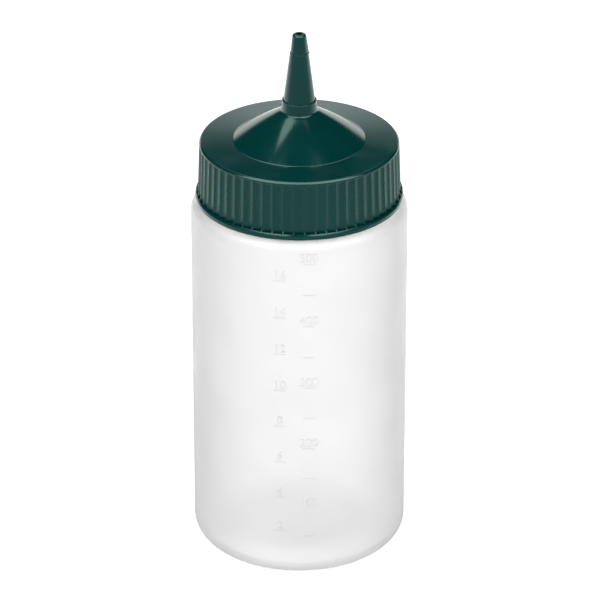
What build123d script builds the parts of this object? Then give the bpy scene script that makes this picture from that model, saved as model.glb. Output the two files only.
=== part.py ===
from build123d import *
import math
import os

# A wide-mouth squeeze bottle with a one-piece screw cap and cone nozzle.
# Millimetres, +Z up, origin at the centre of the standing plane, the
# measuring scale of the bottle towards -Y.

# ---- Bottle: a blow-moulded cylinder -------------------------------------
body_diameter = 76.0
body_height = 132.6            # standing plane to the outer edge of the shoulder
body_wall = 1.2
heel_radius = 7.0              # rounding between the wall and the base
shoulder_radius = 4.5          # rounding between the wall and the shoulder
shoulder_rise = 0.4            # the shoulder climbs this much towards the neck
base_thickness = 1.6
standing_ring_width = 2.0      # flat ring that the bottle stands on
push_up_height = 3.0           # hollow under the base
push_up_diameter = 40.0        # level middle of that hollow
push_up_radius = 5.0
standing_ring_radius = 1.0

# ---- Neck finish: 63 mm wide mouth, one start, right hand ----------------
thread_diameter = 62.5         # over the thread crests
thread_depth = 1.2
thread_pitch = 25.4 / 6
thread_turns = 1.5
thread_root_width = 2.1
thread_crest_width = 0.9
neck_wall = 1.85
neck_fillet = 1.2              # where the neck rises from the shoulder
rim_rounding = 0.4
thread_rim_drop = 2.6          # rim to the upper end of the thread's middle line

# ---- Cap: skirt, lip, top ------------------------------------------------
skirt_wall = 3.8               # inside of the skirt to the grip ridges, over the lip
skirt_height = 21.2            # lower edge of the lip to the edge of the top
skirt_draft = 2.0              # degrees that the skirt leans in, so that it leaves the mould
lip_overhang = 1.0             # the lip stands this far out of the ridges
lip_height = 1.5               # straight edge of the lip
lip_flare_height = 1.7         # slope from the lip up to the skirt
lip_flare_radius = 1.5
lip_edge_rounding = 0.45
flute_count = 60
flute_depth = 0.6
flute_ridge_width = 0.2        # land left between two flutes
flute_ledge_height = 2.0       # lower edge of the lip to the foot of the flutes
top_band_height = 1.5          # smooth band over the flutes
top_edge_chamfer = 0.6
top_edge_rounding = 0.22
top_ring_rise = 0.6            # the top climbs this much from its edge to the dome
panel_thickness = 1.85
panel_corner_rounding = 0.3    # inside corner between the skirt and the panel

# ---- Cap: dome, collar, nozzle -------------------------------------------
dome_diameter = 46.0
dome_height = 10.8
dome_wall = 1.7
dome_foot_rounding = 0.7
collar_diameter = 12.4
collar_top_diameter = 12.0
collar_height = 4.2
collar_foot_rounding = 0.9
nozzle_base_diameter = 11.0    # just above the collar
nozzle_mark_diameter = 6.5     # at the trim mark near the tip
nozzle_mark_height = 17.6      # collar to trim mark
nozzle_mark_step = 0.12
nozzle_tip_diameter = 4.7
nozzle_tip_height = 6.9        # trim mark to the end of the nozzle
nozzle_tip_rounding = 0.8
outlet_diameter = 2.3
nozzle_bore_diameter = 8.2     # at the root of the nozzle

# ---- Sealing ring --------------------------------------------------------
seal_thickness = 1.0
seal_lap = 0.65                # the ring reaches this far inside the neck bore

# ---- Clearances between the pieces ---------------------------------------
shoulder_gap = 0.8             # shoulder to the lower edge of the lip
seal_face_gap = 0.05           # rim to ring, and ring to panel
seal_edge_gap = 0.35           # ring to the inside of the skirt
thread_radial_gap = 0.4        # crest to root, on both threads
thread_flank_gap = 0.35        # along the axis, between the flanks that bear
thread_bite = 0.3              # the threads' roots are sunk in their wall

# ---- Worked out ----------------------------------------------------------
body_radius = body_diameter / 2
body_bore_radius = body_radius - body_wall
standing_ring_inner = body_radius - heel_radius - standing_ring_width
neck_core_radius = thread_diameter / 2 - thread_depth
neck_bore_radius = neck_core_radius - neck_wall
shoulder_top = body_height + shoulder_rise
shoulder_width = body_radius - neck_core_radius
shoulder_fillet = min(shoulder_radius, 0.7 * shoulder_width)
neck_foot_fillet = min(neck_fillet, 0.2 * shoulder_width)

lip_bottom = body_height + shoulder_gap
cap_edge_top = lip_bottom + skirt_height
panel_underside = cap_edge_top - panel_thickness
seal_bottom = panel_underside - seal_face_gap - seal_thickness
neck_rim = seal_bottom - seal_face_gap

cap_bore_radius = thread_diameter / 2 + thread_radial_gap
skirt_radius = cap_bore_radius + skirt_wall
lip_radius = skirt_radius + lip_overhang
lip_flare_top = lip_bottom + lip_height + lip_flare_height
skirt_slope = math.tan(math.radians(skirt_draft))
skirt_top_radius = skirt_radius - (cap_edge_top - top_edge_chamfer - lip_flare_top) * skirt_slope
dome_radius = dome_diameter / 2
dome_foot = cap_edge_top + top_ring_rise
collar_foot = dome_foot + dome_height
collar_top = collar_foot + collar_height
nozzle_mark = collar_top + nozzle_mark_height
nozzle_top = nozzle_mark + nozzle_tip_height
dome_slope = math.atan2(dome_height, dome_radius - collar_diameter / 2)
dome_drop = dome_wall / math.cos(dome_slope)

dome_hollow_radius = dome_radius + (dome_foot - dome_drop - panel_underside) / math.tan(dome_slope)
nozzle_bore_radius = nozzle_bore_diameter / 2
nozzle_root = (
    collar_foot - dome_drop + (collar_diameter / 2 - nozzle_bore_radius) * math.tan(dome_slope)
)

flute_foot = lip_bottom + flute_ledge_height
flute_head = cap_edge_top - top_band_height
flute_middle = (flute_foot + flute_head) / 2
ridge_radius = skirt_radius - (flute_middle - lip_flare_top) * skirt_slope
flute_half_chord = ridge_radius * math.sin(math.pi / flute_count) - flute_ridge_width / 2
flute_sagitta = math.sqrt(ridge_radius**2 - flute_half_chord**2) - ridge_radius + flute_depth
flute_cutter_radius = (flute_half_chord**2 + flute_sagitta**2) / (2 * flute_sagitta)
flute_cutter_centre = ridge_radius - flute_depth + flute_cutter_radius

thread_lift = thread_turns * thread_pitch
neck_thread_start = neck_rim - thread_rim_drop - thread_lift
thread_flank_slope = (thread_root_width - thread_crest_width) / (2 * thread_depth)
thread_sunk_width = thread_root_width + 2 * thread_bite * thread_flank_slope
flank_width = thread_root_width - thread_flank_slope * (thread_depth + thread_radial_gap)
cap_thread_start = neck_thread_start - flank_width - thread_flank_gap


def radial_plane(radius, height):
    """Plane through the axis, origin on the +X side, local x outwards, local y up."""
    return Plane(origin=(radius, 0, height), x_dir=(1, 0, 0), z_dir=(0, -1, 0))


# ---- Bottle --------------------------------------------------------------
with BuildPart() as bottle:
    with BuildSketch(Plane.XZ) as bottle_section:
        with BuildLine():
            FilletPolyline(
                (0, push_up_height),
                (push_up_diameter / 2, push_up_height),
                (standing_ring_inner, 0),
                (body_radius, 0),
                (body_radius, body_height),
                (neck_core_radius, shoulder_top),
                (neck_core_radius, neck_rim),
                (neck_bore_radius, neck_rim),
                (neck_bore_radius, shoulder_top - body_wall),
                (body_bore_radius, body_height - body_wall),
                (body_bore_radius, base_thickness),
                (standing_ring_inner, base_thickness),
                (push_up_diameter / 2, push_up_height + base_thickness),
                (0, push_up_height + base_thickness),
                radius=[
                    0,
                    push_up_radius,
                    standing_ring_radius,
                    heel_radius,
                    shoulder_fillet,
                    neck_foot_fillet,
                    rim_rounding,
                    rim_rounding,
                    neck_foot_fillet + body_wall,
                    shoulder_fillet - body_wall,
                    heel_radius - body_wall,
                    standing_ring_radius + base_thickness,
                    push_up_radius,
                    0,
                ],
                close=True,
            )
        make_face()
    revolve(axis=Axis.Z)

    # The thread: a trapezoid swept up a helix, its root sunk in the neck.
    with BuildLine() as neck_helix:
        Helix(thread_pitch, thread_lift, neck_core_radius, center=(0, 0, neck_thread_start))
    with BuildSketch(radial_plane(neck_core_radius, neck_thread_start)) as neck_thread:
        with BuildLine():
            Polyline(
                (-thread_bite, -thread_sunk_width / 2),
                (thread_depth, -thread_crest_width / 2),
                (thread_depth, thread_crest_width / 2),
                (-thread_bite, thread_sunk_width / 2),
                close=True,
            )
        make_face()
    sweep(sections=neck_thread.sketch, path=neck_helix.line, is_frenet=True)
bottle.part.label = "bottle"

# ---- Sealing ring --------------------------------------------------------
with BuildPart() as sealing_ring:
    with BuildSketch(Plane.XY.offset(seal_bottom)):
        Circle(cap_bore_radius - seal_edge_gap)
        Circle(neck_bore_radius - seal_lap, mode=Mode.SUBTRACT)
    extrude(amount=seal_thickness)
sealing_ring.part.label = "sealing_ring"

# ---- Cap -----------------------------------------------------------------
with BuildPart() as cap:
    # Outside of the cap, filled to the axis.
    with BuildSketch(Plane.XZ) as cap_outside:
        with BuildLine():
            FilletPolyline(
                (0, lip_bottom),
                (lip_radius, lip_bottom),
                (lip_radius, lip_bottom + lip_height),
                (skirt_radius, lip_flare_top),
                (skirt_top_radius, cap_edge_top - top_edge_chamfer),
                (skirt_top_radius - top_edge_chamfer, cap_edge_top),
                (dome_radius, dome_foot),
                (collar_diameter / 2, collar_foot),
                (collar_top_diameter / 2, collar_top),
                (nozzle_base_diameter / 2, collar_top),
                (nozzle_mark_diameter / 2, nozzle_mark),
                (nozzle_mark_diameter / 2 - nozzle_mark_step, nozzle_mark),
                (nozzle_tip_diameter / 2, nozzle_top),
                (0, nozzle_top),
                radius=[
                    0,
                    lip_edge_rounding,
                    lip_edge_rounding,
                    lip_flare_radius,
                    top_edge_rounding,
                    top_edge_rounding,
                    dome_foot_rounding,
                    collar_foot_rounding,
                    top_edge_rounding,
                    0,
                    0,
                    0,
                    nozzle_tip_rounding,
                    0,
                ],
                close=True,
            )
        make_face()
    revolve(axis=Axis.Z)

    # Grip flutes: hollows that meet in sharp ridges, from the lip to the top band.
    # The round cutters lean with the skirt, so the hollows are equally deep all the way.
    with Locations((0, 0, flute_middle)):
        with PolarLocations(flute_cutter_centre, flute_count):
            Cylinder(
                flute_cutter_radius,
                flute_head - flute_foot,
                rotation=(0, -skirt_draft, 0),
                mode=Mode.SUBTRACT,
            )

    # Inside: the room for the neck, the hollow under the dome and the nozzle's bore.
    with BuildSketch(Plane.XZ):
        with BuildLine():
            FilletPolyline(
                (0, lip_bottom),
                (cap_bore_radius, lip_bottom),
                (cap_bore_radius, panel_underside),
                (dome_hollow_radius, panel_underside),
                (nozzle_bore_radius, nozzle_root),
                (outlet_diameter / 2, nozzle_top),
                (0, nozzle_top),
                radius=[0, 0, panel_corner_rounding, 0, collar_foot_rounding, 0, 0],
                close=True,
            )
        make_face()
    revolve(axis=Axis.Z, mode=Mode.SUBTRACT)

    # The thread inside the skirt, its root sunk in the skirt's wall.
    with BuildLine() as cap_helix:
        Helix(thread_pitch, thread_lift, cap_bore_radius, center=(0, 0, cap_thread_start))
    with BuildSketch(radial_plane(cap_bore_radius, cap_thread_start)) as cap_thread:
        with BuildLine():
            Polyline(
                (thread_bite, -thread_sunk_width / 2),
                (-thread_depth, -thread_crest_width / 2),
                (-thread_depth, thread_crest_width / 2),
                (thread_bite, thread_sunk_width / 2),
                close=True,
            )
        make_face()
    sweep(sections=cap_thread.sketch, path=cap_helix.line, is_frenet=True)
cap.part.label = "cap"

os.makedirs("parts", exist_ok=True)
for piece in (bottle.part, sealing_ring.part, cap.part):
    export_step(piece, f"parts/{piece.label}.step")
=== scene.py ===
# %% [markdown]
# # A squeeze bottle with a screw cap and a cone nozzle
# The object is a wide-mouth bottle of frosted, see-through polyethylene. Its one moving part is a dark
# green screw cap with sixty grip flutes, whose top rises as a cone into an open nozzle. A soft sealing
# ring lies between the two. This lesson dresses the three fixed engineering solids: each piece is
# modelled again with clean quads for smooth shading, and gets its finish from shader nodes.
#
# The fixed frame comes first. Every length below is in metres, in the frame's own axes: +Z up the
# bottle, the measuring scale towards -Y.

# %% Load the fixed frame
import math

import bmesh
import bpy
from mathutils import Matrix, Vector


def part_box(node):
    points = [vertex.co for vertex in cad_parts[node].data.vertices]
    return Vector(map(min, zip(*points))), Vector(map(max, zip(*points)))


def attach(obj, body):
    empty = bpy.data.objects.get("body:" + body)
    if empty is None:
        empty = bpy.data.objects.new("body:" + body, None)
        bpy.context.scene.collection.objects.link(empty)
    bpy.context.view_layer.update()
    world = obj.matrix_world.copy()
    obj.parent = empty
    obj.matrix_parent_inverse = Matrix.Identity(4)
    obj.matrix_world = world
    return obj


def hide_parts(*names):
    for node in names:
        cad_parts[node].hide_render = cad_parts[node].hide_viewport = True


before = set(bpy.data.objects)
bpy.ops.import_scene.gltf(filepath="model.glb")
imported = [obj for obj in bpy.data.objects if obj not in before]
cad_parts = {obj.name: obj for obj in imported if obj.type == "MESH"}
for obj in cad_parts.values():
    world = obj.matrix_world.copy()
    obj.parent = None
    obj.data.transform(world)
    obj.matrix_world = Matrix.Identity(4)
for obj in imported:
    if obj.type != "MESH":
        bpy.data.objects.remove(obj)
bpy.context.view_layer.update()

MM = 0.001
AXIS = (0, 0, 1)
ORIGIN = (0, 0, 0)

# %% Sizes that the frame gives
bottle_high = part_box("bottle")[1]
cap_low, cap_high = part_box("cap")
ring_low, ring_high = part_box("sealing_ring")

body_radius = bottle_high.x
neck_rim = bottle_high.z
lip_bottom = cap_low.z
lip_radius = cap_high.x
nozzle_top = cap_high.z
print(f"body radius {body_radius / MM:.2f} mm, neck rim at {neck_rim / MM:.2f} mm")
print(f"cap from {lip_bottom / MM:.2f} to {nozzle_top / MM:.2f} mm, lip radius {lip_radius / MM:.2f} mm")

# %% [markdown]
# ## The camera
# A product shot is taken from far away with a long lens, so that upright walls stay almost parallel.
# The camera stands in front of the scale, looks down by a little under a third of a right angle, and
# aims at the middle of the bottle. The lens is worked out from the picture's width in pixels, because
# that is how a pinhole camera's focal length is easiest to think about.

# %% The camera
PICTURE_WIDTH_PX = 600
SENSOR_WIDTH = 36.0              # Blender's sensor and lens are in millimetres
camera_focal_px = 4123
camera_distance = 1.462
camera_elevation = math.radians(27.3)
aim_point = Vector((0.25 * MM, 0, 91.9 * MM))


def add_camera():
    data = bpy.data.cameras.new("camera")
    data.sensor_width = SENSOR_WIDTH
    data.lens = camera_focal_px * SENSOR_WIDTH / PICTURE_WIDTH_PX
    data.clip_end = 20
    camera = bpy.data.objects.new("camera", data)
    bpy.context.scene.collection.objects.link(camera)
    away = Vector((0, -math.cos(camera_elevation), math.sin(camera_elevation)))
    camera.location = aim_point + away * camera_distance
    camera.rotation_euler = (math.pi / 2 - camera_elevation, 0, 0)
    return camera


bpy.context.scene.camera = add_camera()
print(f"lens {bpy.context.scene.camera.data.lens:.1f} mm on a {SENSOR_WIDTH:.0f} mm sensor")

# %% [markdown]
# ## World, floor and lamps
# Glossy plastic looks like what it mirrors, so the studio matters as much as the material. The bottle
# is lit evenly from all round, as in a light tent. What it mirrors is a white wall behind it that
# falls off in an arch, a strip light high on that side, and a canopy in front with a gap where the
# camera stands, all under a dark ceiling with two soft boxes. The wall draws the two bright crescents
# on the dome, the canopy and the strip draw the thin lines of light along the edges, the dark ceiling
# keeps the top of the cap deep green, and the soft boxes draw the highlight on the dome.
#
# All this could be built from lit panels. A world that answers by direction is quicker to render and
# throws no stray shadow. Light Path tells the kinds of ray apart: gloss mirrors the studio, light that
# has come through the bottle sees an even white, a little stronger towards the sides, and the camera
# sees plain white. Its Glossy Depth counts the mirrors that a ray has met, and hides the canopy in a
# reflection of a reflection.

# %% Small helpers for node trees


def add_node(tree, kind, **values):
    """A node of a kind, with its plain properties set by name."""
    node = tree.nodes.new(kind)
    for name, value in values.items():
        setattr(node, name, value)
    return node


def feed(tree, source, target):
    """Link a socket to a socket, or set the target's own value."""
    if isinstance(source, bpy.types.NodeSocket):
        tree.links.new(source, target)
    else:
        target.default_value = source


def calculate(tree, operation, first, second=0.0):
    """A Math node's output."""
    node = add_node(tree, "ShaderNodeMath", operation=operation)
    feed(tree, first, node.inputs[0])
    feed(tree, second, node.inputs[1])
    return node.outputs[0]


def product(tree, first, *others):
    """All the numbers multiplied."""
    for other in others:
        first = calculate(tree, "MULTIPLY", first, other)
    return first


def blend(tree, factor, first, second):
    """A Mix node's output: the first number at factor 0, the second at factor 1."""
    node = add_node(tree, "ShaderNodeMix", data_type="FLOAT")
    for socket, number in zip(node.inputs[:1] + node.inputs[2:4], (factor, first, second)):
        feed(tree, number, socket)
    return node.outputs[0]


def split(tree, vector):
    """The sockets X, Y and Z of a vector."""
    node = add_node(tree, "ShaderNodeSeparateXYZ")
    feed(tree, vector, node.inputs[0])
    return node.outputs


# %% Numbers that ease from one level to another


def map_range(tree, value, limits, low, high):
    """A Map Range node's output: low before the limits, high past them, eased between."""
    node = add_node(tree, "ShaderNodeMapRange", interpolation_type="SMOOTHSTEP")
    for socket, number in zip(node.inputs, (value, *limits, low, high)):
        feed(tree, number, socket)
    return node.outputs[0]


def rising(tree, value, limits, level=1.0):
    return map_range(tree, value, limits, 0.0, level)


def falling(tree, value, limits, level=1.0):
    return map_range(tree, value, limits, level, 0.0)


# %% How bright the studio is
tent_level = 0.76                # the even light on the object from the sides
tent_front = 0.304               # how much more comes from the front, and less from behind
tent_ceiling = 0.336             # how much less comes from above
tent_through = 0.94              # the tent as it shows through the bottle
tent_through_sides = 1.06
wall_level = 1.44                # from here on, as gloss mirrors it
canopy_level = 5.2
strip_level = 2.9
front_level = 0.64               # low in front
ceiling_level = 0.0032
print(f"tent {tent_level}, wall {wall_level}, canopy {canopy_level}, strip {strip_level}")

# %% Where its parts begin and end
# The limits are parts of a direction of length one: x to the right, y away from the camera, z up.
wall_limits = (0.31, 0.56)       # up the wall behind, before it fades
wall_arch = 0.45                 # how much lower it fades for each unit to the side
least_depth = 0.001              # keeps a division by y finite
front_limits = (-0.16, -0.04)    # y, where all that stands or hangs in front ends
front_top = (0.15, 0.30)         # z
canopy_foot = (0.42, 0.50)       # z
canopy_head = (0.93, 0.97)       # z
gap_side = (0.12, 0.24)          # x
gap_head = (0.58, 0.66)          # z
strip_foot = (0.60, 0.66)        # z
strip_head = (0.84, 0.90)        # z
strip_near = (0.10, 0.20)        # y
strip_end = (0.20, 0.42)         # x
through_side = (0.2, 0.8)        # x
first_mirror = (1.2, 1.8)        # between the first mirror that a ray meets and the second
print(f"canopy from z {canopy_foot[0]} to {canopy_head[1]}, strip from {strip_foot[0]} to {strip_head[1]}")

# %% What gloss mirrors, and the even light


def mirrored_studio(tree, direction):
    """Level by direction: an arched wall one unit behind the bottle, and what hangs in front."""
    x, y, z = split(tree, direction)
    side = calculate(tree, "ABSOLUTE", x)
    depth = calculate(tree, "MAXIMUM", y, least_depth)
    across = calculate(tree, "DIVIDE", side, depth)
    up = calculate(tree, "DIVIDE", z, depth)
    arch = calculate(tree, "ADD", up, product(tree, across, wall_arch))
    wall = falling(tree, arch, wall_limits, wall_level)

    mirrors_met = add_node(tree, "ShaderNodeLightPath").outputs["Glossy Depth"]
    around_gap = calculate(tree, "MAXIMUM", rising(tree, side, gap_side), rising(tree, z, gap_head))
    canopy = product(
        tree, rising(tree, z, canopy_foot, canopy_level), falling(tree, z, canopy_head),
        around_gap, falling(tree, mirrors_met, first_mirror))
    front = calculate(tree, "MAXIMUM", falling(tree, z, front_top, front_level), canopy)
    front = product(tree, front, falling(tree, y, front_limits))

    strip = product(
        tree, rising(tree, z, strip_foot, strip_level), falling(tree, z, strip_head),
        rising(tree, y, strip_near), falling(tree, side, strip_end))
    level = calculate(tree, "MAXIMUM", wall, calculate(tree, "MAXIMUM", front, strip))
    return calculate(tree, "MAXIMUM", level, ceiling_level)


def tent_light(tree, direction):
    """The even light: brighter in front than behind, and dimmer above."""
    _, y, z = split(tree, direction)
    front = product(tree, y, tent_front)
    above = product(tree, z, tent_ceiling)
    return calculate(tree, "SUBTRACT", tent_level, calculate(tree, "ADD", front, above))


# %% The world


def build_world():
    world = bpy.data.worlds.new("studio")
    world.use_nodes = True
    tree = world.node_tree
    tree.nodes.clear()
    direction = add_node(tree, "ShaderNodeTexCoord").outputs["Generated"]
    rays = add_node(tree, "ShaderNodeLightPath").outputs
    side = calculate(tree, "ABSOLUTE", split(tree, direction)["X"])
    through = map_range(tree, side, through_side, tent_through, tent_through_sides)
    tent = tent_light(tree, direction)
    level = blend(tree, rays["Is Glossy Ray"], tent, mirrored_studio(tree, direction))
    level = blend(tree, rays["Is Transmission Ray"], level, through)
    level = blend(tree, rays["Is Camera Ray"], level, 1.0)
    background = add_node(tree, "ShaderNodeBackground")
    background.inputs["Color"].default_value = (1, 1, 1, 1)
    feed(tree, level, background.inputs["Strength"])
    output = add_node(tree, "ShaderNodeOutputWorld")
    feed(tree, background.outputs[0], output.inputs["Surface"])
    return world


bpy.context.scene.world = build_world()
bpy.context.scene.view_settings.view_transform = "Standard"
print("world", bpy.context.scene.world.name, "with", len(bpy.context.scene.world.node_tree.nodes), "nodes")

# %% [markdown]
# The floor is plain and pale. It takes the shadow, and a little light of its own, for rays that look
# straight at it, lifts it to white. Gloss mirrors it darker in front of the bottle than behind it,
# because the front of a table stands further from the lit wall. A curved backdrop would do for one
# view only, and a flat floor looks right from all sides.

# %% The floor
floor_half_width = 3.0
floor_tone = 0.80
floor_roughness = 0.9
floor_glow = 0.25                # light of its own
floor_lift = 0.40                # and more, for the camera
floor_glow_through = 1.10        # what rays that have come through the bottle see
floor_glow_through_sides = 1.28
glow_through_middle = -0.03      # the glow is weakest a little to the left of the bottle
glow_through_side = (0.03, 0.14)     # and grows over this distance from there
floor_mirrored_front = 0.85      # its tone as gloss mirrors it
floor_mirrored_back = 2.00
floor_mirrored_limits = (-0.25, 0.25)


def floor_material():
    material = bpy.data.materials.new("studio_floor")
    material.use_nodes = True
    tree = material.node_tree
    shader = tree.nodes["Principled BSDF"]
    shader.inputs["Roughness"].default_value = floor_roughness
    shader.inputs["Specular IOR Level"].default_value = 0.0
    shader.inputs["Emission Color"].default_value = (1, 1, 1, 1)
    x, y, _ = split(tree, add_node(tree, "ShaderNodeTexCoord").outputs["Object"])
    rays = add_node(tree, "ShaderNodeLightPath").outputs
    mirrored = map_range(tree, y, floor_mirrored_limits, floor_mirrored_front, floor_mirrored_back)
    tone = blend(tree, rays["Is Glossy Ray"], floor_tone, mirrored)
    feed(tree, blend(tree, rays["Is Transmission Ray"], tone, 0.0), shader.inputs["Base Color"])
    side = calculate(tree, "ABSOLUTE", calculate(tree, "SUBTRACT", x, glow_through_middle))
    through = map_range(tree, side, glow_through_side, floor_glow_through, floor_glow_through_sides)
    glow = blend(tree, rays["Is Glossy Ray"], floor_glow, 0.0)
    glow = blend(tree, rays["Is Camera Ray"], glow, floor_glow + floor_lift)
    glow = blend(tree, rays["Is Transmission Ray"], glow, through)
    feed(tree, glow, shader.inputs["Emission Strength"])
    return material


def build_floor():
    bm = bmesh.new()
    bmesh.ops.create_grid(bm, x_segments=1, y_segments=1, size=floor_half_width)
    mesh = bpy.data.meshes.new("studio_floor")
    bm.to_mesh(mesh)
    bm.free()
    mesh.materials.append(floor_material())
    floor = bpy.data.objects.new("studio_floor", mesh)
    bpy.context.scene.collection.objects.link(floor)
    print(f"floor {2 * floor_half_width:.0f} m wide")


build_floor()

# %% [markdown]
# Two soft boxes hang high behind the bottle and face straight down. Point lamps would draw small hard
# spots on the gloss. Large rectangles draw the long soft highlight on the dome, and give the object a
# soft shadow.

# %% The lamps
lamp_height = 1.155


def add_soft_box(name, place, size, turn, radiance):
    """A soft box that faces straight down: place and size in x and y, turn in degrees."""
    data = bpy.data.lights.new(name, "AREA")
    data.shape = "RECTANGLE"
    data.size, data.size_y = size
    data.energy = radiance * math.pi * size[0] * size[1]
    lamp = bpy.data.objects.new(name, data)
    bpy.context.scene.collection.objects.link(lamp)
    lamp.location = (*place, lamp_height)
    lamp.rotation_euler.z = math.radians(turn)
    print(f"{name}: {data.energy:.2f} W at {place}")


add_soft_box("key_soft_box", place=(-0.23, 0.355), size=(0.53, 0.50), turn=10, radiance=3.9)
add_soft_box("fill_soft_box", place=(0.16, 0.29), size=(0.22, 0.36), turn=0, radiance=0.8)

# %% [markdown]
# ## Finishes
# Moulded plastic is never one flat colour. Under a lamp it shows a very fine grain from the mould, a
# slow change of sheen from patch to patch, and a faint swirl where the colour was stirred into the
# melt. All pieces share that effect, so it is one node group with named inputs, and each material
# sets its own sizes. The group puts out only numbers that change over the surface. What is the same
# everywhere, such as the refractive index, is set on the shader's own socket.

# %% The shared effect: moulded skin
grain_detail = 2.0
patch_detail = 3.0
patch_limits = (0.3, 0.7)
swirl_detail = 1.0
swirl_distortion = 1.5
swirl_limits = (0.35, 0.65)
swirl_per_patch = 0.4            # the swirl's scale, as a share of the patches' scale


def noise(tree, place, scale, detail, distortion=0.0):
    """A Noise Texture's number."""
    node = add_node(tree, "ShaderNodeTexNoise")
    feed(tree, place, node.inputs["Vector"])
    feed(tree, scale, node.inputs["Scale"])
    node.inputs["Detail"].default_value = detail
    node.inputs["Distortion"].default_value = distortion
    return node.outputs["Fac"]


def build_moulded_skin():
    group = bpy.data.node_groups.new("moulded_skin", "ShaderNodeTree")
    group.interface.new_socket("Vector", in_out="INPUT", socket_type="NodeSocketVector")
    for name in ("Grain Scale", "Patch Scale", "Roughness Low", "Roughness High"):
        group.interface.new_socket(name, in_out="INPUT", socket_type="NodeSocketFloat")
    for name in ("Grain Height", "Roughness", "Swirl"):
        group.interface.new_socket(name, in_out="OUTPUT", socket_type="NodeSocketFloat")
    given = add_node(group, "NodeGroupInput").outputs
    result = add_node(group, "NodeGroupOutput").inputs
    place, patch_scale = given["Vector"], given["Patch Scale"]

    feed(group, noise(group, place, given["Grain Scale"], grain_detail), result["Grain Height"])

    patch = noise(group, place, patch_scale, patch_detail)
    roughness = map_range(group, patch, patch_limits, given["Roughness Low"], given["Roughness High"])
    feed(group, roughness, result["Roughness"])

    swirl_scale = product(group, patch_scale, swirl_per_patch)
    swirl = noise(group, place, swirl_scale, swirl_detail, swirl_distortion)
    feed(group, rising(group, swirl, swirl_limits), result["Swirl"])
    return group


moulded_skin = build_moulded_skin()
print("group", moulded_skin.name, "with", len(moulded_skin.nodes), "nodes")

# %% A material that wears the moulded skin


def skin_material(name, tones, grain_scale, patch_scale, roughness, grain_depth):
    """A Principled material whose tone, roughness and grain come from the shared skin."""
    material = bpy.data.materials.new(name)
    material.use_nodes = True
    tree = material.node_tree
    shader = tree.nodes["Principled BSDF"]
    skin = add_node(tree, "ShaderNodeGroup", node_tree=moulded_skin)
    inputs = {
        "Vector": add_node(tree, "ShaderNodeTexCoord").outputs["Object"],
        "Grain Scale": grain_scale, "Patch Scale": patch_scale,
        "Roughness Low": roughness[0], "Roughness High": roughness[1],
    }
    for socket_name, value in inputs.items():
        feed(tree, value, skin.inputs[socket_name])

    tone = add_node(tree, "ShaderNodeMix", data_type="RGBA")
    feed(tree, skin.outputs["Swirl"], tone.inputs["Factor"])
    for socket, colour in zip(tone.inputs[6:8], tones):    # a Mix node's two colours
        socket.default_value = (*colour, 1)
    feed(tree, tone.outputs[2], shader.inputs["Base Color"])
    feed(tree, skin.outputs["Roughness"], shader.inputs["Roughness"])

    bump = add_node(tree, "ShaderNodeBump")
    bump.inputs["Strength"].default_value = 1.0
    bump.inputs["Distance"].default_value = grain_depth
    feed(tree, skin.outputs["Grain Height"], bump.inputs["Height"])
    feed(tree, bump.outputs[0], shader.inputs["Normal"])
    print("material", name)
    return material, shader


# %% [markdown]
# The bottle is a rough glass with almost no colour of its own, which is how thin frosted polyethylene
# takes light. Subsurface scattering could stand for it too, but it would hide the far wall and the base,
# which show softly through the real one. The raised marks get a weaker index, because they are sunk in
# the wall, and light that meets two surfaces at one place would otherwise be bent twice.

# %% The frosted bottle and its marks
frosted = {"grain_scale": 1500, "patch_scale": 60, "roughness": (0.30, 0.38), "grain_depth": 0.02 * MM}
polyethylene_ior = 1.51
mark_ior = 1.35

bottle_material, bottle_shader = skin_material(
    "frosted_polyethylene", ((0.99, 0.99, 0.99), (0.998, 0.998, 0.998)), **frosted)
bottle_shader.inputs["IOR"].default_value = polyethylene_ior
bottle_shader.inputs["Transmission Weight"].default_value = 1.0

mark_material, mark_shader = skin_material(
    "frosted_marks", ((0.99, 0.99, 0.99), (1.0, 1.0, 1.0)), **frosted)
mark_shader.inputs["IOR"].default_value = mark_ior
mark_shader.inputs["Transmission Weight"].default_value = 1.0

# %% [markdown]
# The cap is polypropylene, coloured through, and glossy where its mould was polished. A clear coat would
# shine as well, but moulded plastic has no second layer, so a low roughness does it. The seal is white
# foam: the same skin, only dull and with a deeper grain.

# %% The green cap and the white seal
polypropylene_ior = 1.49

cap_material, cap_shader = skin_material(
    "green_polypropylene", ((0.0006, 0.048, 0.044), (0.0008, 0.051, 0.047)),
    grain_scale=900, patch_scale=90, roughness=(0.11, 0.16), grain_depth=0.0015 * MM)
cap_shader.inputs["IOR"].default_value = polypropylene_ior
cap_shader.inputs["Specular Tint"].default_value = (0.65, 1.0, 0.94, 1)

seal_material, _ = skin_material(
    "soft_white_seal", ((0.74, 0.74, 0.71), (0.78, 0.78, 0.76)),
    grain_scale=1200, patch_scale=120, roughness=(0.62, 0.75), grain_depth=0.03 * MM)

# %% [markdown]
# The top of the cap is polished, and its flutes are left satin in the mould, for a better grip. A second
# material would need a seam in the mesh. A band by height in the same material adds to the roughness
# where the flutes are, and needs none.

# %% Satin where the fingers grip
satin_foot = lip_bottom + 2.0 * MM
satin_head = lip_bottom + 20.3 * MM
satin_edge = 0.3 * MM
satin_gain = 0.14


def leave_satin(tree, shader):
    height = split(tree, add_node(tree, "ShaderNodeTexCoord").outputs["Object"])["Z"]
    satin = product(
        tree, rising(tree, height, (satin_foot, satin_foot + satin_edge), satin_gain),
        falling(tree, height, (satin_head - satin_edge, satin_head)))
    polish = shader.inputs["Roughness"].links[0].from_socket
    feed(tree, calculate(tree, "ADD", polish, satin), shader.inputs["Roughness"])


leave_satin(cap_material.node_tree, cap_shader)
print(f"satin from {satin_foot / MM:.1f} to {satin_head / MM:.1f} mm")

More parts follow.
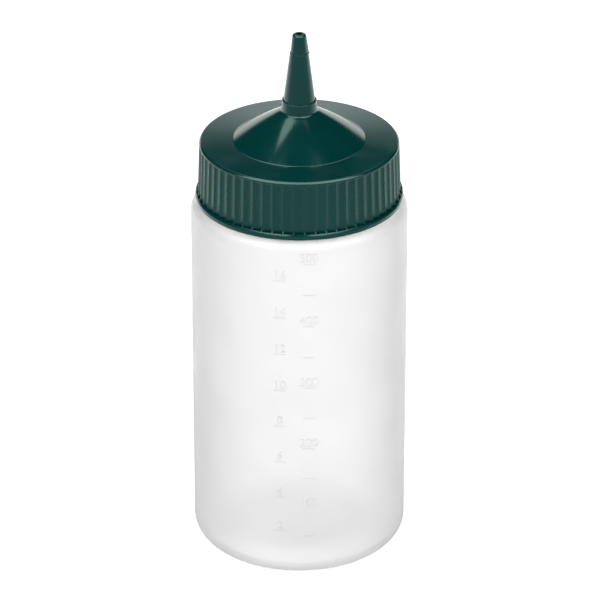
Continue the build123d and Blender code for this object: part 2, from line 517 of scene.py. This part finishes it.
# %% [markdown]
# ## Turned pieces
# Bottle, cap and ring are all round, so each starts as half a section: a wire through its corners, in
# the XZ plane. A vertex bevel rounds each corner as a mould maker would, and spin turns the wire about
# the axis. A lathe modifier (Screw) would do the same, but spin leaves real faces that the next steps
# can pick and push.

# %% Section and spin helpers
segment_turn = math.radians(11)  # a rounding turns by about this much at each of its edges


def rounded_section(bm, corners, closed):
    """A wire through corners (radius, height, rounding) in the XZ plane, each corner rounded."""
    verts = [bm.verts.new((radius, 0, height)) for radius, height, _ in corners]
    following = verts[1:] + verts[:1] if closed else verts[1:]
    for vert, other in zip(verts, following):
        bm.edges.new((vert, other))
    for vert, (_, _, rounding) in zip(verts, corners):
        if rounding > 0:
            before, after = [edge.other_vert(vert).co for edge in vert.link_edges]
            turn = (vert.co - before).angle(after - vert.co)
            bmesh.ops.bevel(
                bm, geom=[vert], offset=rounding * math.tan(turn / 2), offset_type="OFFSET",
                segments=max(3, round(turn / segment_turn)), profile=0.5,
                affect="VERTICES", material=-1, clamp_overlap=False)


def spin(bm, geom, angle, steps, rise=ORIGIN, merge=False, copies=False):
    """Turn geometry about the bottle's axis; returns what stands at the end."""
    result = bmesh.ops.spin(
        bm, geom=geom, cent=ORIGIN, axis=AXIS, dvec=rise, angle=angle,
        steps=steps, use_merge=merge, use_duplicate=copies)
    return result["geom_last"]


# %% Finishing helpers
weld_distance = 0.0005 * MM
sliver_length = 0.0002 * MM
crease_angle = math.radians(28)


def face_outwards(bm):
    bmesh.ops.dissolve_degenerate(bm, edges=bm.edges, dist=sliver_length)
    bmesh.ops.recalc_face_normals(bm, faces=bm.faces)


def weld_and_face_outwards(bm):
    bmesh.ops.remove_doubles(bm, verts=bm.verts, dist=weld_distance)
    face_outwards(bm)


def finish_piece(bm, name, body, material):
    """Make the mesh an object that rides on its body, smooth but for its real edges."""
    mesh = bpy.data.meshes.new(name)
    bm.to_mesh(mesh)
    open_edges = sum(1 for edge in bm.edges if len(edge.link_faces) != 2)
    bm.free()
    mesh.shade_smooth()
    mesh.set_sharp_from_angle(angle=crease_angle)
    mesh.materials.append(material)
    piece = bpy.data.objects.new(name, mesh)
    bpy.context.scene.collection.objects.link(piece)
    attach(piece, body)
    print(f"{name}: {len(mesh.polygons)} faces, {open_edges} edges without two faces")
    return piece


def even_out_shading(piece):
    """Let large faces keep their own direction next to small roundings."""
    modifier = piece.modifiers.new("even_shading", "WEIGHTED_NORMAL")
    modifier.keep_sharp = True

# %% [markdown]
# ## The bottle
# A blow-moulded bottle is one skin: a tube of soft plastic blown against the mould, so the inside
# follows the outside at the thickness of the wall. Its section runs from the axis under the base, out
# over the standing ring, up the wall, over the shoulder and the neck, and back down inside. Both ends
# of the wire lie on the axis, where the spin closes them to a point.

# %% Bottle sizes
body_wall = 1.2 * MM
body_top = 132.6 * MM            # outer edge of the shoulder
shoulder_top = body_top + 0.4 * MM
heel_rounding = 7.0 * MM
shoulder_rounding = 4.5 * MM
base_thickness = 1.6 * MM
push_up = 3.0 * MM
push_up_radius = 20.0 * MM
push_up_rounding = 5.0 * MM
standing_ring_inner = body_radius - heel_rounding - 2.0 * MM
neck_radius = 30.05 * MM
neck_wall = 1.85 * MM
neck_foot_rounding = 1.2 * MM
rim_rounding = 0.4 * MM
ring_rounding = 1.0 * MM         # inner edge of the standing ring
body_bore = body_radius - body_wall
neck_bore = neck_radius - neck_wall
bottle_steps = 192
print(f"bores: body {2 * body_bore / MM:.1f} mm, neck {2 * neck_bore / MM:.1f} mm")

# %% The bottle's shell
bottle_corners = (
    (0, push_up, 0),
    (push_up_radius, push_up, push_up_rounding),
    (standing_ring_inner, 0, ring_rounding),
    (body_radius, 0, heel_rounding),
    (body_radius, body_top, shoulder_rounding),
    (neck_radius, shoulder_top, neck_foot_rounding),
    (neck_radius, neck_rim, rim_rounding),
    (neck_bore, neck_rim, rim_rounding),
    (neck_bore, shoulder_top - body_wall, neck_foot_rounding + body_wall),
    (body_bore, body_top - body_wall, shoulder_rounding - body_wall),
    (body_bore, base_thickness, heel_rounding - body_wall),
    (standing_ring_inner, base_thickness, ring_rounding + base_thickness),
    (push_up_radius, push_up + base_thickness, push_up_rounding),
    (0, push_up + base_thickness, 0),
)

bottle_bm = bmesh.new()
rounded_section(bottle_bm, bottle_corners, closed=False)
spin(bottle_bm, bottle_bm.verts[:] + bottle_bm.edges[:], math.tau, bottle_steps, merge=True)
weld_and_face_outwards(bottle_bm)
bottle = finish_piece(bottle_bm, "bottle_shell", "bottle", bottle_material)
even_out_shading(bottle)
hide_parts("bottle")

# %% [markdown]
# ## The cap
# The skirt carries sixty hollow flutes that meet in rounded ridges, and it leans in by two degrees, so
# that it slides out of its mould. One slice of six degrees is enough to model: the section is spun
# through it, the faces of its flute are pushed in along a wave, and spin then repeats the finished
# slice sixty times. A boolean cut would give the same shape with far untidier faces. The cutter of
# the mould was round at its end, so each flute runs out at its head in a quarter round.

# %% Cap sizes
cap_edge_top = 154.6 * MM
cap_bore = 31.65 * MM
cap_mouth_rounding = 0.15 * MM
panel_underside = cap_edge_top - 1.85 * MM
panel_rounding = 0.3 * MM
skirt_radius = lip_radius - 1.0 * MM
skirt_slope = math.tan(math.radians(2.0))
lip_height = 1.5 * MM
lip_edge = lip_bottom + lip_height
lip_edge_rounding = 0.45 * MM
lip_flare_top = lip_edge + 1.7 * MM
lip_flare_rounding = 1.5 * MM
top_chamfer = 0.6 * MM
top_chamfer_roundings = (0.4 * MM, 0.3 * MM)     # its lower and its upper edge
skirt_top_radius = skirt_radius - (cap_edge_top - top_chamfer - lip_flare_top) * skirt_slope
print(f"skirt {2 * skirt_radius / MM:.1f} mm across at its foot, {2 * skirt_top_radius / MM:.1f} mm on top")

# %% Dome and nozzle sizes
dome_radius = 23.0 * MM
dome_foot = cap_edge_top + 0.6 * MM
dome_foot_rounding = 0.7 * MM
dome_wall = 1.7 * MM
dome_swell_lift = 0.96 * MM      # of a corner half way up, which its wide rounding
dome_swell_rounding = 100 * MM   # takes back to a swelling of about 0.4 mm
collar_foot = dome_foot + 10.8 * MM
collar_foot_rounding = 0.9 * MM
collar_top = collar_foot + 4.2 * MM
collar_radius = 6.2 * MM
collar_top_radius = 6.0 * MM
collar_top_rounding = 0.22 * MM
nozzle_base_radius = 5.5 * MM
nozzle_bore_radius = 4.1 * MM
nozzle_bore_rounding = 0.9 * MM
trim_mark = collar_top + 17.6 * MM
trim_mark_radius = 3.25 * MM
trim_mark_rounding = 0.1 * MM
trim_mark_step = 0.2 * MM
nozzle_tip_radius = 2.35 * MM
nozzle_tip_rounding = 0.8 * MM
outlet_radius = 1.15 * MM
dome_swell_radius = (dome_radius + collar_radius) / 2
dome_swell_height = (dome_foot + collar_foot) / 2 + dome_swell_lift
dome_slope = math.atan2(collar_foot - dome_foot, dome_radius - collar_radius)
dome_drop = dome_wall / math.cos(dome_slope)
hollow_radius = dome_radius + (dome_foot - dome_drop - panel_underside) / math.tan(dome_slope)
nozzle_root = collar_foot - dome_drop + (collar_radius - nozzle_bore_radius) * math.tan(dome_slope)
print(f"dome leans {math.degrees(dome_slope):.1f} degrees, hollow {2 * hollow_radius / MM:.1f} mm across")

# %% The wave of the flutes
# Seen from above, a flute is a hollow arc and a ridge is a small round one, and the two arcs touch.
flute_count = 60
flute_depth = 0.6 * MM
ridge_rounding = 0.35 * MM
flute_foot = lip_bottom + 2.0 * MM
flute_head = cap_edge_top - 0.95 * MM
flute_run_out = 1.1 * MM         # over this height the hollow curves out to the band above
flute_middle = (flute_foot + flute_head) / 2
ridge_radius = skirt_radius - (flute_middle - lip_flare_top) * skirt_slope
pitch_angle = math.tau / flute_count
half_pitch = ridge_radius * math.sin(pitch_angle / 2)
centre_gap = (half_pitch**2 + flute_depth**2) / (2 * flute_depth)    # between the two arcs' centres
flute_rounding = centre_gap - ridge_rounding
flute_edge = half_pitch * flute_rounding / centre_gap                # where the arcs touch
share_of_flare = (flute_foot - lip_edge) / (lip_flare_top - lip_edge)
ledge_radius = lip_radius - (lip_radius - skirt_radius) * share_of_flare
print(f"flutes: hollow arc {flute_rounding / MM:.2f} mm, ridge arc {ridge_rounding / MM:.2f} mm")


def run_out(height):
    """How much of its full depth the wave has at a height: a quarter round below the band."""
    below = min(1.0, (flute_head - height) / flute_run_out)
    return math.sqrt(max(0.0, 1 - (1 - below) ** 2))


def wave_depth(across):
    """How far the wave lies inside the ridges, at a distance from the middle of a flute."""
    if across < flute_edge:
        return flute_depth - (flute_rounding - math.sqrt(flute_rounding**2 - across**2))
    beside_ridge = max(0.0, half_pitch - across)
    return ridge_rounding - math.sqrt(ridge_rounding**2 - beside_ridge**2)


run_out_shares = (1.0, 0.62, 0.30, 0.10, 0.0)
run_out_rows = [flute_head - share * flute_run_out for share in run_out_shares]

# %% The corners of the cap's section
cap_corners = (
    (cap_bore, lip_bottom, cap_mouth_rounding),
    (lip_radius, lip_bottom, lip_edge_rounding),
    (lip_radius, lip_edge, lip_edge_rounding),
    (ledge_radius, flute_foot, 0),
    (skirt_radius, lip_flare_top, lip_flare_rounding),
    *((skirt_radius - (height - lip_flare_top) * skirt_slope, height, 0) for height in run_out_rows),
    (skirt_top_radius, cap_edge_top - top_chamfer, top_chamfer_roundings[0]),
    (skirt_top_radius - top_chamfer, cap_edge_top, top_chamfer_roundings[1]),
    (dome_radius, dome_foot, dome_foot_rounding),
    (dome_swell_radius, dome_swell_height, dome_swell_rounding),
    (collar_radius, collar_foot, collar_foot_rounding),
    (collar_top_radius, collar_top, collar_top_rounding),
    (nozzle_base_radius, collar_top, 0),
    (trim_mark_radius, trim_mark, trim_mark_rounding),
    (trim_mark_radius - trim_mark_step, trim_mark, 0),
    (nozzle_tip_radius, nozzle_top, nozzle_tip_rounding),
    (outlet_radius, nozzle_top, 0),
    (nozzle_bore_radius, nozzle_root, nozzle_bore_rounding),
    (hollow_radius, panel_underside, 0),
    (cap_bore, panel_underside, panel_rounding),
)
print(len(cap_corners), "corners")

# %% One slice of the cap
ridge_foot = lip_flare_top + 0.4 * MM    # below this height only the hollow arc is cut
least_radius = cap_bore + 1 * MM         # tells the outside of the skirt from its inside


def across_flute(point):
    """Distance from the middle of the flute, measured along the wave."""
    return ridge_radius * abs(math.sin(math.atan2(point.y, point.x)))


def is_in_flute(face):
    middle = face.calc_center_median()
    foot = ridge_foot if across_flute(middle) > flute_edge else flute_foot
    return foot < middle.z < flute_head and middle.xy.length > least_radius


def push_in_flute(bm):
    """Push the faces of one flute in, as far as the wave says."""
    old_faces = [face for face in bm.faces if is_in_flute(face)]
    pushed = bmesh.ops.extrude_face_region(bm, geom=old_faces)["geom"]
    for vert in pushed:
        if isinstance(vert, bmesh.types.BMVert):
            ridge = ridge_radius - (vert.co.z - flute_middle) * skirt_slope
            reach = ridge - wave_depth(across_flute(vert.co)) * run_out(vert.co.z)
            pull = min(1.0, reach / vert.co.xy.length)
            bmesh.ops.scale(bm, vec=(pull, pull, 1), verts=[vert])
    bmesh.ops.delete(bm, geom=old_faces, context="FACES")


ridge_segments = 3                       # from the middle of a ridge to its edge
flute_segments = 8
ridge_angles = [
    math.asin(step / ridge_segments * (half_pitch - flute_edge) / ridge_radius)
    for step in range(ridge_segments + 1)]
ridge_steps = [end - start for start, end in zip(ridge_angles, ridge_angles[1:])]
flute_step = (pitch_angle - 2 * ridge_angles[-1]) / flute_segments
slice_steps = ridge_steps + [flute_step] * flute_segments + ridge_steps[::-1]

cap_bm = bmesh.new()
rounded_section(cap_bm, cap_corners, closed=True)
bmesh.ops.rotate(cap_bm, verts=cap_bm.verts, cent=ORIGIN, matrix=Matrix.Rotation(-pitch_angle / 2, 3, "Z"))
edge_of_slice = cap_bm.verts[:] + cap_bm.edges[:]
for step in slice_steps:
    edge_of_slice = spin(cap_bm, edge_of_slice, step, 1)
push_in_flute(cap_bm)
print("one slice has", len(cap_bm.faces), "faces")

# %% [markdown]
# The flutes end on a narrow ledge over the lip. In the mould that ledge is never quite sharp, and its
# small rounding is what draws a thin line of light along the lip. An edge bevel on one slice gives it.

# %% Break the edge of the ledge
ledge_rounding = 0.2 * MM
near = 0.02 * MM                 # closer than this is at the same place


def is_ledge_edge(edge):
    return all(abs(vert.co.z - flute_foot) < near
               and abs(vert.co.xy.length - ledge_radius) < near
               and across_flute(vert.co) < flute_edge + near
               for vert in edge.verts)


ledge_edges = [edge for edge in cap_bm.edges if is_ledge_edge(edge)]
bmesh.ops.bevel(
    cap_bm, geom=ledge_edges, offset=ledge_rounding, offset_type="OFFSET", segments=2, profile=0.5,
    affect="EDGES", material=-1, clamp_overlap=True)
print(len(ledge_edges), "edges of the ledge rounded")

# %% Sixty slices make the cap
whole_slice = cap_bm.verts[:] + cap_bm.edges[:] + cap_bm.faces[:]
spin(cap_bm, whole_slice, math.tau - pitch_angle, flute_count - 1, copies=True)
weld_and_face_outwards(cap_bm)
print("sixty slices have", len(cap_bm.faces), "faces")

# %% [markdown]
# Where the two halves of the nozzle's mould meet at the trim mark, a little plastic was pressed out on
# the right. A few vertices of the mark, pulled outwards, make that nib.

# %% The nib at the trim mark
nib_half_width = 0.9 * MM
nib_height = 0.3 * MM
nib_reach = 0.05 * MM            # vertices this near to the mark belong to it
for vert in cap_bm.verts:
    at_mark = abs(vert.co.z - trim_mark) < nib_reach and vert.co.x > 0
    if at_mark and abs(vert.co.y) < nib_half_width:
        swell = 1 + nib_height / vert.co.xy.length * (1 - (vert.co.y / nib_half_width) ** 2) ** 2
        bmesh.ops.scale(cap_bm, vec=(swell, swell, 1), verts=[vert])

cap = finish_piece(cap_bm, "cap_shell", "cap", cap_material)
even_out_shading(cap)
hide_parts("cap")

# %% [markdown]
# ## The screw threads
# Neck and cap hold on to each other by one thread each, right handed and one and a half turns long. A
# thread is a small trapezoid that climbs while it turns, and spin can do both at once: dvec is its rise
# at each step. Each end tapers down into its wall, so that it starts easily. The root is sunk a little
# in the wall, so no gap can show. A Screw modifier could wind the same ridge, but not these tapered ends.

# %% Thread sizes
thread_pitch = 25.4 * MM / 6
thread_turns = 1.5
thread_depth = 1.2 * MM
thread_bite = 0.3 * MM
root_half_width = 1.2 * MM
crest_half_width = 0.45 * MM
steps_per_turn = 96
thread_below_rim = 2.6 * MM
cap_thread_lag = 1.65 * MM       # the cap's thread lies this much under the neck's
neck_thread_start = neck_rim - thread_below_rim - thread_turns * thread_pitch
cap_thread_start = neck_thread_start - cap_thread_lag
print(f"pitch {thread_pitch / MM:.2f} mm, neck thread from {neck_thread_start / MM:.1f} mm up")

# %% The two threads


def wind_thread(name, wall_radius, outwards, start, body, material):
    bm = bmesh.new()
    root = wall_radius - outwards * thread_bite
    crest = wall_radius + outwards * thread_depth
    profile = ((root, -root_half_width), (crest, -crest_half_width),
               (crest, crest_half_width), (root, root_half_width))
    verts = [bm.verts.new((radius, 0, start + height)) for radius, height in profile]
    first = bm.faces.new(verts)
    steps = round(thread_turns * steps_per_turn)
    rise = (0, 0, thread_pitch / steps_per_turn)
    last = spin(bm, first.edges[:] + verts, math.tau * thread_turns, steps, rise=rise)
    last_verts = [item for item in last if isinstance(item, bmesh.types.BMVert)]
    last_edges = [item for item in last if isinstance(item, bmesh.types.BMEdge)]
    bmesh.ops.contextual_create(bm, geom=last_edges)
    for end_verts in (verts, last_verts):
        for vert in end_verts:
            pull = root / vert.co.xy.length
            bmesh.ops.scale(bm, vec=(pull, pull, 1), verts=[vert])
    face_outwards(bm)
    finish_piece(bm, name, body, material)


wind_thread("neck_thread", neck_radius, 1, neck_thread_start, "bottle", bottle_material)
wind_thread("cap_thread", cap_bore, -1, cap_thread_start, "cap", cap_material)

# %% [markdown]
# ## The sealing ring
# A flat ring of soft white foam lies between the rim of the neck and the top of the cap, and rises with
# the cap. A disc with a hole, given a thickness, would have sharp edges. Turned from a small rounded
# section, the ring gets the soft edges that foam has.

# %% The sealing ring
seal_hole = 27.55 * MM
seal_rounding = 0.15 * MM
seal_steps = 128
ring_corners = [
    (radius, height, seal_rounding)
    for radius, height in (
        (seal_hole, ring_low.z), (ring_high.x, ring_low.z),
        (ring_high.x, ring_high.z), (seal_hole, ring_high.z))]
ring_bm = bmesh.new()
rounded_section(ring_bm, ring_corners, closed=True)
spin(ring_bm, ring_bm.verts[:] + ring_bm.edges[:], math.tau, seal_steps, merge=True)
weld_and_face_outwards(ring_bm)
ring = finish_piece(ring_bm, "sealing_ring_pad", "cap_seal", seal_material)
even_out_shading(ring)
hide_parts("sealing_ring")

# %% [markdown]
# ## The measuring scale
# Two raised scales stand on the wall, moulded with the bottle: one has ten short lines with a number
# over every second one, the other eight lines with a number over each. Each mark is built lying flat
# and is then bent round the wall. The figures are Blender's own font, turned into a mesh, because a
# font curve already has the depth and the soft edge that a moulded figure has. The first line of each
# scale stands a little higher than the even steps say, since the rounded heel holds less.

# %% Helpers for raised marks
mark_depth = 0.12 * MM           # how proud a mark stands
mark_root = 0.12 * MM            # how deep it is sunk in the wall
mark_softness = 0.07 * MM
mark_middle = (mark_depth - mark_root) / 2    # of its thickness, counted from the wall
line_cuts = 7                    # across a line, so that it can bend
figure_share = 0.7               # height of a figure, as a share of the font's size
figure_weld = 0.001 * MM


def bend_onto_wall(bm, azimuth_degrees, height):
    """Bend flat marks (x along the wall, y up, z outwards) round the bottle."""
    for vert in bm.verts:
        turn = math.radians(azimuth_degrees - 90) + vert.co.x / body_radius
        reach = body_radius + vert.co.z
        vert.co = Vector((reach * math.cos(turn), reach * math.sin(turn), height + vert.co.y))


def flat_line(length, width):
    """A raised line with soft edges."""
    bm = bmesh.new()
    bmesh.ops.create_cube(bm, size=1)
    bmesh.ops.scale(bm, vec=(length, width, mark_depth + mark_root), verts=bm.verts)
    bmesh.ops.translate(bm, vec=(0, 0, mark_middle), verts=bm.verts)
    front = [edge for edge in bm.edges if all(vert.co.z > 0 for vert in edge.verts)]
    bmesh.ops.bevel(
        bm, geom=front, offset=mark_softness, segments=3, profile=0.5, affect="EDGES", material=-1)
    along = [edge for edge in bm.edges if abs(edge.verts[0].co.x - edge.verts[1].co.x) > 0.5 * length]
    bmesh.ops.subdivide_edges(bm, edges=along, cuts=line_cuts)
    return bm


def flat_figures(text, height):
    """Raised figures, centred, with their feet at y = 0."""
    curve = bpy.data.curves.new("figures_" + text, "FONT")
    curve.body = text
    curve.align_x = "CENTER"
    curve.size = height / figure_share
    curve.extrude = (mark_depth + mark_root) / 2 - mark_softness
    curve.bevel_depth = mark_softness
    curve.bevel_resolution = 1
    curve.offset = -mark_softness / 2
    holder = bpy.data.objects.new("figures_" + text, curve)
    bpy.context.scene.collection.objects.link(holder)
    graph = bpy.context.evaluated_depsgraph_get()
    mesh = bpy.data.meshes.new_from_object(holder.evaluated_get(graph))
    bm = bmesh.new()
    bm.from_mesh(mesh)
    bpy.data.objects.remove(holder)
    bpy.data.curves.remove(curve)
    bpy.data.meshes.remove(mesh)
    bmesh.ops.remove_doubles(bm, verts=bm.verts, dist=figure_weld)
    bmesh.ops.translate(bm, vec=(0, 0, mark_middle), verts=bm.verts)
    return bm


def gather(marks, bm):
    """Add one mark to the mesh that holds them all."""
    mesh = bpy.data.meshes.new("mark")
    bm.to_mesh(mesh)
    bm.free()
    marks.from_mesh(mesh)
    bpy.data.meshes.remove(mesh)


# %% The two scales
line_width = 0.55 * MM
figure_height = 3.2 * MM
figure_lift = 0.9 * MM           # feet of the figures over their line
fine_scale = {
    "azimuth": 5.1, "length": 4.2 * MM, "lines": 10, "figure_every": 2, "unit": 50,
    "first": 17.2 * MM, "second": 28.4 * MM, "step": 12.08 * MM}
coarse_scale = {
    "azimuth": -10.4, "length": 4.4 * MM, "lines": 8, "figure_every": 1, "unit": 2,
    "first": 19.05 * MM, "second": 32.8 * MM, "step": 14.26 * MM}

marks = bmesh.new()
for scale in (fine_scale, coarse_scale):
    for number in range(1, scale["lines"] + 1):
        height = scale["first"] if number == 1 else scale["second"] + (number - 2) * scale["step"]
        line = flat_line(scale["length"], line_width)
        bend_onto_wall(line, scale["azimuth"], height)
        gather(marks, line)
        if number % scale["figure_every"] == 0:
            figures = flat_figures(str(scale["unit"] * number), figure_height)
            bend_onto_wall(figures, scale["azimuth"], height + figure_lift)
            gather(marks, figures)
    print("lines", scale["lines"], "last", scale["lines"] * scale["unit"], f"at {height / MM:.1f} mm")
bmesh.ops.recalc_face_normals(marks, faces=marks.faces)
finish_piece(marks, "volume_scale", "bottle", mark_material)
